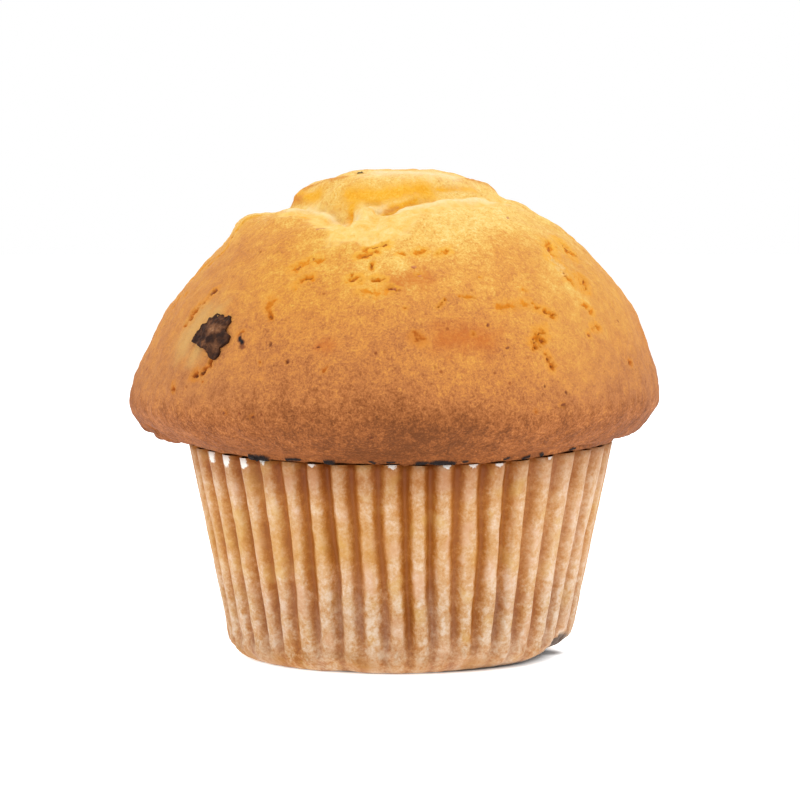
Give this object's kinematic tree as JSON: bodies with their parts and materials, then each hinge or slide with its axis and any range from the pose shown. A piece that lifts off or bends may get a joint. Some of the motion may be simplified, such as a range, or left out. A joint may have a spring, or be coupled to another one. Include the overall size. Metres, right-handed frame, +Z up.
{
  "type": "queen cake",
  "caption": "Domed sponge cake with a split golden crown and a broad lip over its pleated paper case, with chocolate chunks in the crust.",
  "frame": {"origin": "on the floor, under the middle of the cake's overall width and depth", "axes": "+Z up from the foot to the crown; -Y is the side that faces the camera in the picture, +X its right"},
  "size_m": [0.0792, 0.0792, 0.0724],
  "materials": {
    "baked_sponge": "matte golden-brown crust, paler on the crown",
    "baking_paper": "thin greaseproof paper, stained by the cake",
    "dark_chocolate": "dull, with a faint bloom"
  },
  "bodies": {
    "root": {"cake": "baked_sponge", "paper_case": "baking_paper", "chocolate_chunk_left": "dark_chocolate", "chocolate_chunk_crown": "dark_chocolate", "chocolate_chunk_back": "dark_chocolate", "chocolate_chunk_right": "dark_chocolate"}
  },
  "joints": []
}
